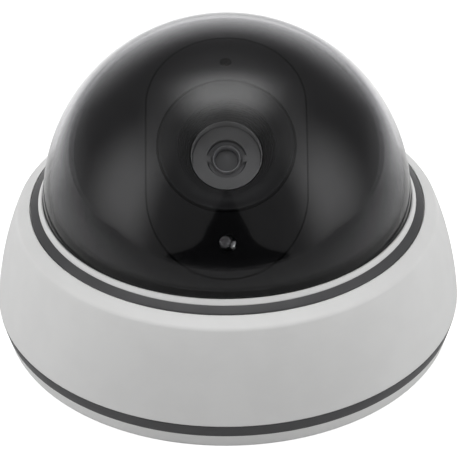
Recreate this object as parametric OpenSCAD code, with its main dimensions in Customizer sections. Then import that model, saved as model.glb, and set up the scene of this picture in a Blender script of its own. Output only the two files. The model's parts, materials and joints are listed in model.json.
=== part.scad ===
// Dome CCTV camera: a white conical housing with a smoked dome, and under it a black camera ball
// that pans and tilts on a bracket and carries a lens module.
// Frame: origin at the centre of the base's underside, +Z up, the lens faces -Y and upwards.

/* [Housing] */
// Radius of the housing at its bottom edge
housing_bottom_r = 72.5; // [71.5:0.5:74]
// Radius of the housing where the flank meets the shoulder
housing_top_r = 65.6; // [65:0.2:67]
// Height of that place above the base's underside
shoulder_z = 38.6; // [38:0.2:39.5]
// How far the flank bulges out from a straight cone
flank_bulge = 1.1; // [0.4:0.1:2]
// Thickness of the housing's wall
housing_wall = 2.2; // [1.6:0.1:2.6]

/* [Base] */
// Radius of the base's underside
base_r = 70; // [67:0.5:70]
// Height of the base's white edge
base_edge_h = 4.9; // [4:0.1:5.5]
// Radius of the circle of the wall screws
wall_screw_circle_r = 52; // [50:1:56]
// Radius of each wall screw hole
wall_screw_hole_r = 2.25; // [1.75:0.25:3]
// Radius of the cable hole in the grommet
cable_hole_r = 3.2; // [2:0.2:4]

/* [Dome] */
// Outer radius of the dome
dome_r = 56.9; // [56.6:0.1:57]
// Thickness of the dome's wall
dome_wall = 1.8; // [1.5:0.1:1.9]
// Height of the dome's centre
dome_z = 43.3; // [43.3:0.1:44]

/* [Camera ball] */
// Height of the ball's centre
ball_z = 43.3; // [43.2:0.1:43.5]
// Outer radius of the camera ball
ball_r = 54; // [53.5:0.1:54.2]
// Thickness of the ball's wall
ball_wall = 2; // [1.6:0.1:2.2]
// Angle below the centre at which the ball's rim is cut
rim_angle = 22; // [18:1:24]
// Elevation of the lens axis at rest
lens_elevation = 50; // [45:0.5:55]
// Half of the front panel's width
panel_half_w = 23.6; // [23:0.1:24.5]
// Half of the front panel's height
panel_half_h = 37.5; // [36:0.5:38]
// Width of the groove around the front panel
panel_groove = 0.5; // [0.3:0.1:0.8]

/* [Lens] */
// Radius of the lens bezel
bezel_r = 19.8; // [19.6:0.1:19.9]
// Radius of the bezel's first step
funnel_r = 14.2; // [13.8:0.1:14.6]
// Steps of the bezel's funnel
funnel_steps = 4; // [2:1:6]
// Radius of the focus ring's rim
focus_rim_r = 10.6; // [10.4:0.1:10.7]
// Distance of that rim from the ball's centre
focus_rim_s = 40.6; // [40:0.2:41]

/* [Hidden] */
$fn = 96;
fit = 0.05;
gap = 0.3;
eps = 0.01;

// Angles of the LED and of the light sensor from the lens axis
led_angle = -32;
light_sensor_angle = 30;

// Base
floor_t = 2.5;
post_r = 14;
post_h = 10.6;
post_bore_r = 9;
post_floor_hole_r = 8;
rim_wall_in = 62.5;
rim_wall_out = 65;
rim_wall_h = 16;
base_edge_r = 71.4;
base_slope = (base_edge_r - base_r) / base_edge_h;
trim_in_r = 67.5;
trim_top_z = 9;
lug_angles = [60, 180, 300];
lug_half_angle = 8;
lug_r = 68.6;
lug_z = 12.4;
lug_h = 2;
wall_screw_angles = [30, 150, 270];

// Pan bearing
seat_r = 24;
seat_z = 5.2;
washer_t = 0.5;
bracket_z = 6;
bracket_t = 2.5;
bracket_r = 34;
stop_r = 30;
stop_pin_r = 1.2;
clip_groove_z = 9;
clip_t = 0.9;

// Bracket arms and tilt pivots
arm_in = 42;
arm_out = 45;
arm_half_w = 7;
arm_top_r = 7;
pin_r = 2.5;
pin_head_r = 4;
pin_head_t = 1.8;
pin_end = 51.2;
tilt_washer_t = 0.4;
boss_start = 45.7;
boss_r = 5;

// Housing
housing_bottom_z = 9.3;
deck_in_r = dome_r + 0.15;
deck_in_z = 44.5;
trim_groove_in_r = 58.5;
trim_groove_in_z = 43.2;
trim_groove_out_r = 61.2;
trim_groove_out_z = 41.5;
trim_groove_depth = 1.2;
deck_under_z = 38.8;
shoulder_fillet = 2;
hook_r = 66.8;
hook_z = 10;
hook_h = 2;
hook_stop_angle = 9;

// Dome clamp
dome_flange_r = 59.3;
dome_flange_t = 1.8;
dome_gasket_t = 0.7;
clamp_t = 2;
clamp_in_r = 55.5;
clamp_out_r = 63.4;
clamp_screw_r = 61.9;
clamp_screws = 6;
dome_flange_top = deck_under_z - dome_gasket_t;
dome_flange_z = dome_flange_top - dome_flange_t;
clamp_z = dome_flange_z - clamp_t;

// Lens module, by distance from the ball's centre along the lens axis
bezel_edge_s = 50.15;
bezel_gap = 0.45;
bezel_lip_r = 19.3;
funnel_top_s = 48.3;
funnel_end_r = 11;
funnel_bottom_s = 41.1;
bezel_flange_r = 21.2;
bezel_flange_s = 42.7;
bezel_flange_t = 1.5;
bezel_neck_r = 15;
frame_s = 31.5;
frame_t = 2;
frame_r = 22.5;
board_half = 19;
board_t = 1.6;
board_hole = 15.5;
sensor_board_s = 16;
main_board_s = 7.4;
holder_bore_r = 6.25;
holder_tube_r = 7.6;
holder_front_s = 34.9;
barrel_r = 6.2;
barrel_shoulder_s = 34.5;
barrel_nose_r = 5.6;
barrel_front_s = 36.3;
barrel_back_s = 23.5;
focus_sleeve_r = 9.2;
focus_face_s = 37.5;
focus_face_r = 10.05;
focus_hole_r = 5.95;

// Points of a circular arc from angle a0 to a1
function arc(centre, r, a0, a1, n) =
    [for (i = [0:n]) let (a = a0 + (a1 - a0) * i / n) centre + r * [cos(a), sin(a)]];

// Flank of the housing: an arc through its bottom and top that bulges by flank_bulge
flank_low = [housing_bottom_r, housing_bottom_z];
flank_high = [housing_top_r, shoulder_z];
flank_chord = norm(flank_high - flank_low);
flank_r = flank_chord * flank_chord / (8 * flank_bulge) + flank_bulge / 2;
flank_normal = [flank_high[1] - flank_low[1], flank_low[0] - flank_high[0]] / flank_chord;
flank_centre = (flank_low + flank_high) / 2 - flank_normal * (flank_r - flank_bulge);
flank_a0 = atan2(flank_low[1] - flank_centre[1], flank_low[0] - flank_centre[0]);
flank_a1 = atan2(flank_high[1] - flank_centre[1], flank_high[0] - flank_centre[0]);
shoulder_centre = flank_high - shoulder_fillet * [cos(flank_a1), sin(flank_a1)];
shoulder_a1 = 62;

module tube(r_out, r_in, h) {
    difference() {
        cylinder(r = r_out, h = h);
        translate([0, 0, -1]) cylinder(r = r_in, h = h + 2);
    }
}

// A block that stands on the plane z = 0, centred in x and y
module block(size) {
    translate([-size[0] / 2, -size[1] / 2, 0]) cube(size);
}

// A sector of a ring between two angles
module ring_sector(r_in, r_out, h, a0, a1) {
    rotate([0, 0, a0]) rotate_extrude(angle = a1 - a0)
        translate([r_in, 0]) square([r_out - r_in, h]);
}

// A pan-head screw along +z, its head's underside at z = 0 and its shank going up
module screw(shank_r, shank_l, head_r, head_t) {
    slot = head_r * 0.35;
    difference() {
        union() {
            translate([0, 0, -head_t]) cylinder(r = head_r, h = head_t);
            translate([0, 0, -head_t / 2]) cylinder(r = shank_r, h = shank_l + head_t / 2);
        }
        translate([0, 0, -head_t - eps]) block([head_r * 1.3, slot, head_t * 0.5]);
        translate([0, 0, -head_t - eps]) block([slot, head_r * 1.3, head_t * 0.5]);
    }
}

// Frames: the ball's centre, the lens axis (local z from the centre out through the lens) and a
// direction at an angle from it in the vertical plane
module at_centre() {
    translate([0, 0, ball_z]) children();
}

module on_lens_axis() {
    at_centre() rotate([90 - lens_elevation, 0, 0]) children();
}

module at_panel_angle(angle) {
    rotate([-angle, 0, 0]) children();
}

module pill(half_w, half_h) {
    run = half_h - half_w;
    translate([0, run]) circle(r = half_w);
    translate([0, -run]) circle(r = half_w);
    square([2 * half_w, 2 * run], center = true);
}

module pill_prism(half_w, half_h) {
    linear_extrude(height = 70) pill(half_w, half_h);
}

module shell(r_out, r_in) {
    difference() {
        sphere(r = r_out);
        sphere(r = r_in);
    }
}

// ---- base ----

module base_plate() color([0.88, 0.88, 0.87]) {
    difference() {
        union() {
            rotate_extrude() polygon([[0, 0], [base_r - 0.6, 0], [base_r - 0.1, 0.2],
                [base_r + base_slope * 0.8, 0.8], [base_edge_r, base_edge_h],
                [rim_wall_in, base_edge_h], [rim_wall_in, floor_t], [0, floor_t]]);
            tube(rim_wall_out, rim_wall_in, rim_wall_h);
            cylinder(r = seat_r, h = seat_z);
            cylinder(r = post_r, h = post_h);
            for (a = wall_screw_angles) rotate([0, 0, a])
                translate([wall_screw_circle_r, 0, 0]) cylinder(r = 5, h = 4);
            for (p = power_board_holes) translate([p[0], p[1], 0]) cylinder(r = 2.2, h = board_post_z);
            for (a = lug_angles) translate([0, 0, lug_z])
                ring_sector(rim_wall_out - 1, lug_r, lug_h, a - lug_half_angle, a + lug_half_angle);
            rotate([0, 0, 90]) translate([stop_r, 0, 0]) cylinder(r = stop_pin_r, h = 5.6);
            for (a = [0:30:330]) rotate([0, 0, a + 15])
                translate([seat_r - 1, -0.6, 0]) cube([rim_wall_in - seat_r + 2, 1.2, 3]);
        }
        translate([0, 0, floor_t]) cylinder(r = post_bore_r, h = post_h);
        translate([0, 0, -1]) cylinder(r = post_floor_hole_r, h = post_h);
        for (a = wall_screw_angles) rotate([0, 0, a])
            translate([wall_screw_circle_r, 0, -1]) cylinder(r = wall_screw_hole_r, h = 8);
        for (p = power_board_holes) translate([p[0], p[1], floor_t]) cylinder(r = 0.85, h = 8);
        translate([0, 0, clip_groove_z]) tube(post_r + 2, post_r - 1, clip_t + 0.1);
    }
}

module base_trim_ring() color([0.27, 0.27, 0.28]) {
    rotate_extrude() polygon([[trim_in_r, base_edge_h], [base_edge_r, base_edge_h],
        [housing_bottom_r, trim_top_z], [trim_in_r, trim_top_z]]);
}

module cable_grommet() color([0.12, 0.12, 0.12]) {
    difference() {
        union() {
            translate([0, 0, 0.3]) cylinder(r = post_floor_hole_r, h = floor_t);
            translate([0, 0, floor_t]) cylinder(r = post_bore_r, h = 1.8);
            cylinder_from(floor_t, 8, 5);
        }
        translate([0, 0, -1]) cylinder(r = cable_hole_r, h = 12);
    }
}

module cylinder_from(z0, z1, r) {
    translate([0, 0, z0]) cylinder(r = r, h = z1 - z0);
}

module pan_friction_washer() color([0.82, 0.80, 0.72]) {
    translate([0, 0, seat_z]) tube(seat_r - 1, post_r + 0.4, washer_t);
}

module pan_retaining_clip() color([0.62, 0.62, 0.64]) {
    difference() {
        translate([0, 0, clip_groove_z + 0.05]) union() {
            tube(17.5, post_r - 1, clip_t);
            for (side = [-1, 1]) translate([side * 4, -17.5, 0]) cylinder(r = 2.2, h = clip_t);
        }
        translate([-2, -25, 0]) cube([4, 15, 20]);
        for (side = [-1, 1]) translate([side * 4, -17.5, 0]) cylinder(r = 0.9, h = 20);
    }
}

// Power board at the back of the base
board_post_z = 5.5;
power_board_y = 51.7;
power_board_size = [44, 10.4, 1.6];
power_board_holes = [for (x = [-19.5, 19.5]) for (y = [49, 54.5]) [x, y]];
power_top_z = board_post_z + power_board_size[2];

module power_board() color([0.10, 0.36, 0.20]) {
    difference() {
        translate([0, power_board_y, board_post_z]) block(power_board_size);
        for (p = power_board_holes) translate([p[0], p[1], 0]) cylinder(r = 1.1, h = 12);
    }
}

module power_board_screws() color([0.70, 0.70, 0.72]) {
    for (p = power_board_holes) translate([p[0], p[1], power_top_z])
        rotate([180, 0, 0]) screw(0.8, 4, 1.7, 1.1);
}

terminal_x = -9;
terminal_pitch = 5;

module terminal_block() color([0.12, 0.45, 0.25]) {
    difference() {
        translate([terminal_x, 51.5, power_top_z]) block([3 * terminal_pitch, 8, 8.5]);
        for (i = [-1:1]) translate([terminal_x + i * terminal_pitch, 51.5, power_top_z]) {
            translate([0, 0.5, 3]) cylinder(r = 1.5, h = 10);
            translate([0, -2.5, 1.5]) block([2.8, 6, 3.4]);
        }
    }
}

module terminal_screws() color([0.75, 0.75, 0.77]) {
    for (i = [-1:1]) translate([terminal_x + i * terminal_pitch, 52, power_top_z + 5.2])
        difference() {
            cylinder(r = 1.5, h = 2.6);
            translate([0, 0, 1.9]) block([4, 0.6, 1]);
        }
}

module board_header() color([0.90, 0.89, 0.84]) {
    translate([4.5, 51.5, power_top_z]) {
        difference() {
            block([8, 6, 6]);
            translate([0, 0, 1.5]) block([6.6, 4.6, 6]);
        }
        for (i = [-1.5:1:1.5]) translate([i * 1.5, 0, 1]) block([0.5, 0.5, 4]);
    }
}

module power_inductor() color([0.25, 0.25, 0.26]) {
    translate([11, 48.6, power_top_z]) {
        block([4.6, 3.4, 3]);
        translate([0, 0, 3 - eps]) cylinder(r = 1.4, h = 0.4);
    }
}

module power_capacitors() color([0.20, 0.24, 0.42]) {
    for (x = [11, 15.4]) translate([x, 53.2, power_top_z]) {
        cylinder(r = 2, h = 7);
        cylinder(r = 2.15, h = 0.8);
    }
}

module regulator_chip() color([0.08, 0.08, 0.09]) {
    translate([15.7, 48.6, power_top_z]) {
        block([3, 2.6, 1.3]);
        for (i = [-1:1]) translate([i, 0, 0]) block([0.4, 4, 0.4]);
    }
}

// ---- pan bracket ----

module pan_bracket() color([0.22, 0.22, 0.23]) {
    difference() {
        union() {
            cylinder_from(bracket_z, bracket_z + bracket_t, bracket_r);
            translate([0, 0, bracket_z]) block([2 * arm_out, 2 * arm_half_w, bracket_t]);
            for (side = [-1, 1]) {
                arm(side);
                for (y = [-1, 1]) arm_gusset(side, y * (arm_half_w - 1));
            }
            rotate([0, 0, 270]) translate([stop_r, 0, 3.4]) cylinder(r = stop_pin_r, h = 3);
        }
        translate([0, 0, -1]) cylinder(r = post_r + fit, h = 20);
        for (a = [45:90:315]) rotate([0, 0, a]) translate([24.5, 0, 0]) cylinder(r = 4.5, h = 20);
        rotate([0, 90, 0]) translate([-ball_z, 0, -60]) cylinder(r = pin_r, h = 120);
    }
}

module arm(side) {
    low = side > 0 ? arm_in : -arm_out;
    translate([low, -arm_half_w, bracket_z]) cube([arm_out - arm_in, 2 * arm_half_w, ball_z - bracket_z]);
    translate([low, 0, ball_z]) rotate([0, 90, 0]) cylinder(r = arm_top_r, h = arm_out - arm_in);
}

module arm_gusset(side, y) {
    translate([0, y + 0.75, 0]) rotate([90, 0, 0]) linear_extrude(height = 1.5)
        polygon([[side * 33, bracket_z + 1], [side * (arm_in + 1), bracket_z + 1],
            [side * (arm_in + 1), 18]]);
}

module tilt_pins() color([0.74, 0.74, 0.76]) {
    for (side = [-1, 1]) at_centre() rotate([0, side * 90, 0]) translate([0, 0, arm_in])
        screw(pin_r, pin_end - arm_in, pin_head_r, pin_head_t);
}

module tilt_friction_washers() color([0.82, 0.80, 0.72]) {
    for (side = [-1, 1]) at_centre() rotate([0, side * 90, 0])
        translate([0, 0, arm_out]) tube(5.5, pin_r + 0.1, tilt_washer_t);
}

// ---- camera ball ----

module inner_liner() color([0.05, 0.05, 0.055]) {
    difference() {
        union() {
            at_centre() difference() {
                sphere(r = ball_r);
                sphere(r = ball_r - ball_wall);
                translate([-60, -60, -60 - ball_r * sin(rim_angle)]) cube([120, 120, 60]);
            }
            for (side = [-1, 1]) at_centre() rotate([0, side * 90, 0])
                translate([0, 0, boss_start]) cylinder(r = boss_r, h = ball_r - 1.2 - boss_start);
        }
        on_lens_axis() pill_prism(panel_half_w + panel_groove / 2, panel_half_h + panel_groove / 2);
        for (side = [-1, 1]) at_centre() rotate([0, side * 90, 0])
            cylinder(r = pin_r + fit, h = pin_end + 0.2);
        panel_screw_places() cylinder(r = 0.8, h = ball_r - 0.7);
    }
}

// Directions of the four screws that hold the front panel, from the ball's centre
module panel_screw_places() {
    on_lens_axis() panel_screw_tilt() children();
}

module panel_screw_tilt() {
    for (sx = [-1, 1]) for (sy = [-1, 1])
        rotate([0, 0, atan2(sy * 13, sx * 26.8)]) rotate([0, 35.6, 0]) children();
}

panel_flange = 5.2;
panel_flange_r = 51.9;
panel_flange_t = 1.7;
collar_out_r = 23.2;
collar_in_r = 21.5;
collar_bottom_s = 42.4;
collar_ledge_s = 44.5;
led_hole_r = 2.65;
light_hole_r = 1.85;
panel_hole_r = bezel_r + bezel_gap;
// Where the edge of that opening meets the panel's face
panel_hole_edge_s = sqrt(pow(ball_r, 2) - pow(panel_hole_r, 2));

module front_panel() color([0.05, 0.05, 0.055]) on_lens_axis() {
    difference() {
        union() {
            intersection() {
                shell(ball_r, panel_flange_r - 0.6);
                pill_prism(panel_half_w - panel_groove / 2, panel_half_h - panel_groove / 2);
            }
            intersection() {
                shell(panel_flange_r, panel_flange_r - panel_flange_t);
                pill_prism(panel_half_w + panel_flange, panel_half_h + 3);
            }
            intersection() {
                sphere(r = panel_flange_r - 0.5);
                translate([0, 0, collar_bottom_s]) cylinder(r = collar_out_r, h = 10);
            }
        }
        cylinder(r = panel_hole_r, h = 60);
        translate([0, 0, panel_hole_edge_s - 0.4])
            cylinder(r1 = panel_hole_r, r2 = panel_hole_r + 1.5, h = 1.5);
        cylinder(r = collar_in_r, h = collar_ledge_s);
        at_panel_angle(led_angle) cylinder(r = led_hole_r, h = 60);
        at_panel_angle(led_angle) cylinder(r = led_hole_r + 0.7, h = 49.6);
        at_panel_angle(light_sensor_angle) cylinder(r = light_hole_r, h = 60);
        at_panel_angle(light_sensor_angle) cylinder(r = 2.5, h = 51.8);
        at_panel_angle(light_sensor_angle) translate([-4.3, -3, 40]) cube([8.6, 8, 9.4]);
        for (a = retainer_angles) rotate([0, 0, a]) translate([22.4, 0, 0]) cylinder(r = 0.55, h = 46);
        panel_screw_tilt() cylinder(r = 0.8, h = panel_flange_r + 0.6);
    }
    difference() {
        led_socket(led_angle, 2.5, led_hole_r + 1.2, 47.6, 52.6);
        cylinder(r = collar_in_r, h = 60);
    }
}

// A tube behind the panel that guides the LED
module led_socket(angle, r_in, r_out, s0, s1) {
    at_panel_angle(angle) translate([0, 0, s0]) tube(r_out, r_in, s1 - s0);
}

module panel_screws() color([0.70, 0.70, 0.72]) {
    panel_screw_places() translate([0, 0, panel_flange_r - panel_flange_t - 0.05]) screw(0.8, 2.9, 1.6, 1);
}

retainer_angles = [0, 60, 120, 180, 240, 300];
retainer_t = 1.8;

module module_retainer() color([0.10, 0.10, 0.11]) on_lens_axis() difference() {
    translate([0, 0, collar_bottom_s - retainer_t]) tube(collar_out_r, 20.2, retainer_t);
    at_panel_angle(led_angle) cylinder(r = led_hole_r + 1, h = 60);
    at_panel_angle(light_sensor_angle) translate([-4.3, -3, 30]) cube([8.6, 8, 20]);
    for (a = retainer_angles) rotate([0, 0, a]) translate([22.4, 0, 30]) cylinder(r = 0.55, h = 20);
}

module retainer_screws() color([0.70, 0.70, 0.72]) on_lens_axis() {
    for (a = retainer_angles) rotate([0, 0, a]) translate([22.4, 0, collar_bottom_s - retainer_t])
        screw(0.5, 3.6, 1, 0.7);
}

led_tip_s = 54.4;

module status_led() color([0.93, 0.93, 0.95]) on_lens_axis() at_panel_angle(led_angle) {
    translate([0, 0, led_tip_s - 2.5]) sphere(r = 2.5);
    cylinder_from(led_tip_s - 7.6, led_tip_s - 2.5, 2.5);
    cylinder_from(led_tip_s - 8.6, led_tip_s - 7.5, 2.9);
    for (x = [-1.27, 1.27]) translate([x, 0, led_tip_s - 10.9]) block([0.5, 0.5, 2.4]);
}

module led_board() color([0.10, 0.36, 0.20]) on_lens_axis() at_panel_angle(led_angle) difference() {
    translate([-4.5, -5, led_tip_s - 10.2]) cube([9, 7.4, 1.2]);
    for (x = [-1.27, 1.27]) translate([x, 0, led_tip_s - 11]) block([0.6, 0.6, 4]);
}

module light_sensor() color([0.35, 0.30, 0.24]) on_lens_axis() at_panel_angle(light_sensor_angle) {
    cylinder_from(49.4, 51.3, 2.5);
    translate([0, 0, 51.3 - eps]) cylinder(r = 1.6, h = 0.5);
}

module light_sensor_board() color([0.10, 0.36, 0.20]) {
    on_lens_axis() at_panel_angle(light_sensor_angle) translate([-4, -2.4, 48.2]) cube([8, 6.4, 1.2]);
}

// ---- camera module, turning about the lens axis ----

// Half section of the bezel: a dished face, then a funnel of equal steps down to the lens face
dish_points = [for (i = [0:6]) let (t = i / 6)
    [bezel_lip_r + (funnel_r - bezel_lip_r) * t,
     bezel_edge_s + (funnel_top_s - bezel_edge_s) * sin(90 * t)]];
step_r = (funnel_r - funnel_end_r) / funnel_steps;
step_s = (funnel_top_s - funnel_bottom_s) / funnel_steps;
step_draft = 0.12;
step_points = [for (i = [1:funnel_steps]) for (k = [0, 1])
    [funnel_r - step_r * (i - 1 + k) - step_draft * (1 - k), funnel_top_s - step_s * i + step_draft * k]];
bezel_points = concat(
    [[bezel_r, bezel_flange_s + bezel_flange_t], [bezel_r, bezel_edge_s - 0.4],
     [bezel_r - 0.12, bezel_edge_s - 0.12]],
    dish_points, step_points,
    [[funnel_end_r, frame_s + frame_t], [bezel_neck_r, frame_s + frame_t], [bezel_neck_r, bezel_flange_s],
     [bezel_flange_r, bezel_flange_s], [bezel_flange_r, bezel_flange_s + bezel_flange_t]]);

module lens_bezel() color([0.06, 0.06, 0.065]) on_lens_axis() difference() {
    rotate_extrude() polygon(bezel_points);
    for (a = bezel_screw_angles) rotate([0, 0, a]) translate([13.2, 0, 30]) cylinder(r = 0.75, h = 8);
}

bezel_screw_angles = [45, 135, 225, 315];

module bezel_screws() color([0.70, 0.70, 0.72]) on_lens_axis() {
    for (a = bezel_screw_angles) rotate([0, 0, a]) translate([13.2, 0, frame_s]) screw(0.75, 5, 1.5, 1);
}

module corners(half) {
    for (sx = [-1, 1]) for (sy = [-1, 1]) translate([sx * half, sy * half, 0]) children();
}

module module_frame() color([0.16, 0.16, 0.17]) on_lens_axis() difference() {
    union() {
        cylinder_from(frame_s, frame_s + frame_t, frame_r);
        corners(board_hole) cylinder_from(sensor_board_s + board_t, frame_s + frame_t, 2.4);
    }
    cylinder(r = focus_sleeve_r + 0.5, h = 60);
    for (a = bezel_screw_angles) rotate([0, 0, a]) translate([13.2, 0, 20]) cylinder(r = 0.75, h = 20);
    corners(board_hole) cylinder(r = 0.9, h = sensor_board_s + board_t + 8);
}

module lens_holder() color([0.09, 0.09, 0.10]) on_lens_axis() difference() {
    base_s = sensor_board_s + board_t;
    union() {
        translate([0, 0, base_s]) block([17, 17, 5]);
        translate([0, 0, base_s]) block([26, 5, 2.4]);
        cylinder_from(base_s + 4, holder_front_s, holder_tube_r);
    }
    translate([0, 0, base_s - 1]) block([13, 13, 3.6]);
    translate([0, 0, base_s + 2]) block([8, 8, 1.4]);
    cylinder(r = 3.6, h = barrel_back_s);
    cylinder_from(barrel_back_s - 1, 60, holder_bore_r);
    translate([0, 0, focus_pin_s - 1.7]) translate([0, -0.7, 0]) cube([12, 1.4, 3.4]);
    for (x = [-11, 11]) translate([x, 0, 0]) cylinder(r = 0.8, h = 30);
}

module holder_screws() color([0.70, 0.70, 0.72]) on_lens_axis() {
    for (x = [-11, 11]) translate([x, 0, sensor_board_s]) screw(0.8, 3.8, 1.5, 0.9);
}

module ir_cut_filter() color([0.55, 0.25, 0.30]) {
    on_lens_axis() translate([0, 0, sensor_board_s + board_t + 2.7]) block([8, 8, 0.7]);
}

module image_sensor() color([0.15, 0.15, 0.16]) on_lens_axis() {
    translate([0, 0, sensor_board_s + board_t]) {
        difference() {
            block([10, 9, 1.3]);
            translate([0, 0, 0.9]) block([7, 5.4, 1]);
        }
        translate([0, 0, 0.5]) block([7, 5.4, 0.5]);
    }
}

module camera_board(s) {
    difference() {
        translate([0, 0, s]) block([2 * board_half, 2 * board_half, board_t]);
        corners(board_hole) cylinder(r = 1.1, h = 40);
    }
}

module sensor_board() color([0.10, 0.36, 0.20]) on_lens_axis() difference() {
    camera_board(sensor_board_s);
    for (x = [-11, 11]) translate([x, 0, 0]) cylinder(r = 0.8, h = 30);
}

module main_board() color([0.10, 0.36, 0.20]) on_lens_axis() camera_board(main_board_s);

module board_connector() color([0.90, 0.89, 0.84]) on_lens_axis() {
    low = main_board_s + board_t;
    translate([0, -12, low]) block([20, 4.4, sensor_board_s - low]);
}

module board_spacers() color([0.78, 0.66, 0.36]) on_lens_axis() {
    low = main_board_s + board_t;
    corners(board_hole) translate([0, 0, low]) tube(2.2, 1.1, sensor_board_s - low);
}

module processor_chip() color([0.08, 0.08, 0.09]) {
    on_lens_axis() translate([0, 3, main_board_s - 1.3]) block([13, 13, 1.3]);
}

module heat_sink() color([0.70, 0.71, 0.73]) on_lens_axis() translate([0, 3, main_board_s - 6.3]) {
    translate([0, 0, 3.6]) block([14, 14, 1.4]);
    for (i = [-2:2]) translate([i * 3, 0, 0]) block([1, 14, 3.7]);
}

module memory_chips() color([0.08, 0.08, 0.09]) on_lens_axis() {
    for (x = [-9, 0]) translate([x, 8, main_board_s + board_t]) block([7, 9, 1.1]);
    translate([11, 4, main_board_s + board_t]) block([5, 5, 1]);
    for (y = [-4, 0]) translate([-12, y, main_board_s + board_t]) block([3, 2.4, 1.4]);
}

module loom_socket() color([0.90, 0.89, 0.84]) {
    on_lens_axis() translate([0, -12.5, main_board_s - 5.5]) difference() {
        block([14, 6, 5.5]);
        translate([0, 0, -1]) block([12, 4.6, 4.6]);
    }
}

module board_screws() color([0.70, 0.70, 0.72]) on_lens_axis() {
    corners(board_hole) translate([0, 0, main_board_s]) screw(0.9, 17, 1.9, 1.3);
}

// ---- lens ----

focus_pin_s = 31.5;
front_lens_s = 33.2;
lens_ring_s = 34.95;
rear_lens_s = 27;

module focus_ring() color([0.45, 0.45, 0.46]) on_lens_axis() {
    difference() {
        union() {
            cylinder_from(focus_face_s - 2.5, focus_rim_s, focus_rim_r);
            cylinder_from(28.8, focus_face_s - 1, focus_sleeve_r);
        }
        cylinder(r = focus_hole_r, h = 60);
        cylinder(r = holder_tube_r + fit, h = holder_front_s + gap);
        translate([0, 0, focus_pin_s - 1.2]) cylinder(r = 8.6, h = 2.4);
        cylinder_from(focus_face_s, 60, focus_rim_r - 0.3);
        difference() {
            cylinder_from(focus_face_s - 1, 60, focus_rim_r - 0.3);
            cylinder_from(0, 61, focus_face_r);
        }
    }
    for (side = [-1, 1]) translate([side * 5.55, 0, focus_face_s - 0.5]) block([1.5, 2.2, 0.5]);
}

module lens_barrel() color([0.36, 0.36, 0.37]) on_lens_axis() difference() {
    union() {
        cylinder_from(barrel_back_s + 0.5, barrel_shoulder_s, barrel_r);
        cylinder_from(barrel_shoulder_s - 0.1, barrel_front_s, barrel_nose_r);
    }
    cylinder(r = 3.3, h = 60);
    cylinder_from(front_lens_s, 60, 3.7);
    cylinder_from(lens_ring_s, 60, 4.5);
    cylinder_from(0, rear_lens_s, 4);
    translate([0, 0, focus_pin_s]) rotate([0, 90, 0]) cylinder(r = 0.6, h = 10);
}

module focus_pin() color([0.72, 0.72, 0.74]) {
    on_lens_axis() translate([4.6, 0, focus_pin_s]) rotate([0, 90, 0]) cylinder(r = 0.55, h = 3.7);
}

// A lens element: a disc with one domed face
module lens_element(r, edge_t, sag) {
    dome = (r * r + sag * sag) / (2 * sag);
    intersection() {
        cylinder(r = r, h = edge_t + sag + 1);
        translate([0, 0, edge_t + sag - dome]) sphere(r = dome);
    }
}

module front_lens() color([0.55, 0.62, 0.72, 0.6]) {
    on_lens_axis() translate([0, 0, front_lens_s]) lens_element(3.7, 1.6, 0.7);
}

module lens_retaining_ring() color([0.72, 0.72, 0.74]) on_lens_axis() {
    translate([0, 0, lens_ring_s]) rotate_extrude()
        polygon([[3.5, 0], [4.5, 0], [4.5, 2], [4.35, 2.15], [4.1, 2.15], [3.8, 0.9], [3.5, 0.7]]);
}

module lens_spacer() color([0.10, 0.10, 0.11]) {
    on_lens_axis() translate([0, 0, rear_lens_s]) tube(3.3, 2.6, front_lens_s - rear_lens_s);
}

module rear_lens() color([0.55, 0.62, 0.72, 0.6]) {
    on_lens_axis() translate([0, 0, rear_lens_s]) rotate([180, 0, 0]) lens_element(4, 1.4, 0.8);
}

// ---- cover ----

// Inner face of the flank, an arc with the flank's own centre
flank_inside = arc(flank_centre, flank_r - housing_wall, flank_a1, flank_a0, 10);
deck_slope_end = shoulder_centre + shoulder_fillet * [cos(shoulder_a1), sin(shoulder_a1)];

housing_points = concat(
    arc(flank_centre, flank_r, flank_a0, flank_a1, 14),
    arc(shoulder_centre, shoulder_fillet, flank_a1 + 8, shoulder_a1, 5),
    [[trim_groove_out_r, trim_groove_out_z],
     [trim_groove_out_r, trim_groove_out_z - trim_groove_depth],
     [trim_groove_in_r, trim_groove_in_z - trim_groove_depth],
     [trim_groove_in_r, trim_groove_in_z], [deck_in_r + 0.5, deck_in_z],
     [deck_in_r, deck_in_z - 0.1], [deck_in_r, deck_under_z],
     [flank_inside[0][0] - 1.4, deck_under_z], [flank_inside[0][0], deck_under_z - 1.8]],
    [for (i = [1:10]) flank_inside[i]]);

module housing() color([0.90, 0.90, 0.89]) difference() {
    union() {
        rotate_extrude() polygon(housing_points);
        clamp_bosses();
        for (a = lug_angles) {
            translate([0, 0, hook_z])
                ring_sector(hook_r, 70.8, hook_h, a - lug_half_angle, a + lug_half_angle);
            translate([0, 0, hook_z])
                ring_sector(hook_r, 70.4, 5, a + hook_stop_angle, a + hook_stop_angle + 2);
        }
    }
    for (a = [0:360 / clamp_screws:359]) rotate([0, 0, a])
        translate([clamp_screw_r, 0, 30]) cylinder(r = 0.85, h = 9.6);
}

module clamp_bosses() {
    for (a = [0:360 / clamp_screws:359]) rotate([0, 0, a]) intersection() {
        translate([clamp_screw_r, 0, dome_flange_z]) cylinder(r = 2.4, h = 3);
        cylinder(r = 64.6, h = 60);
    }
}

trim_ring_out_r = trim_groove_out_r - 0.3;

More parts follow.
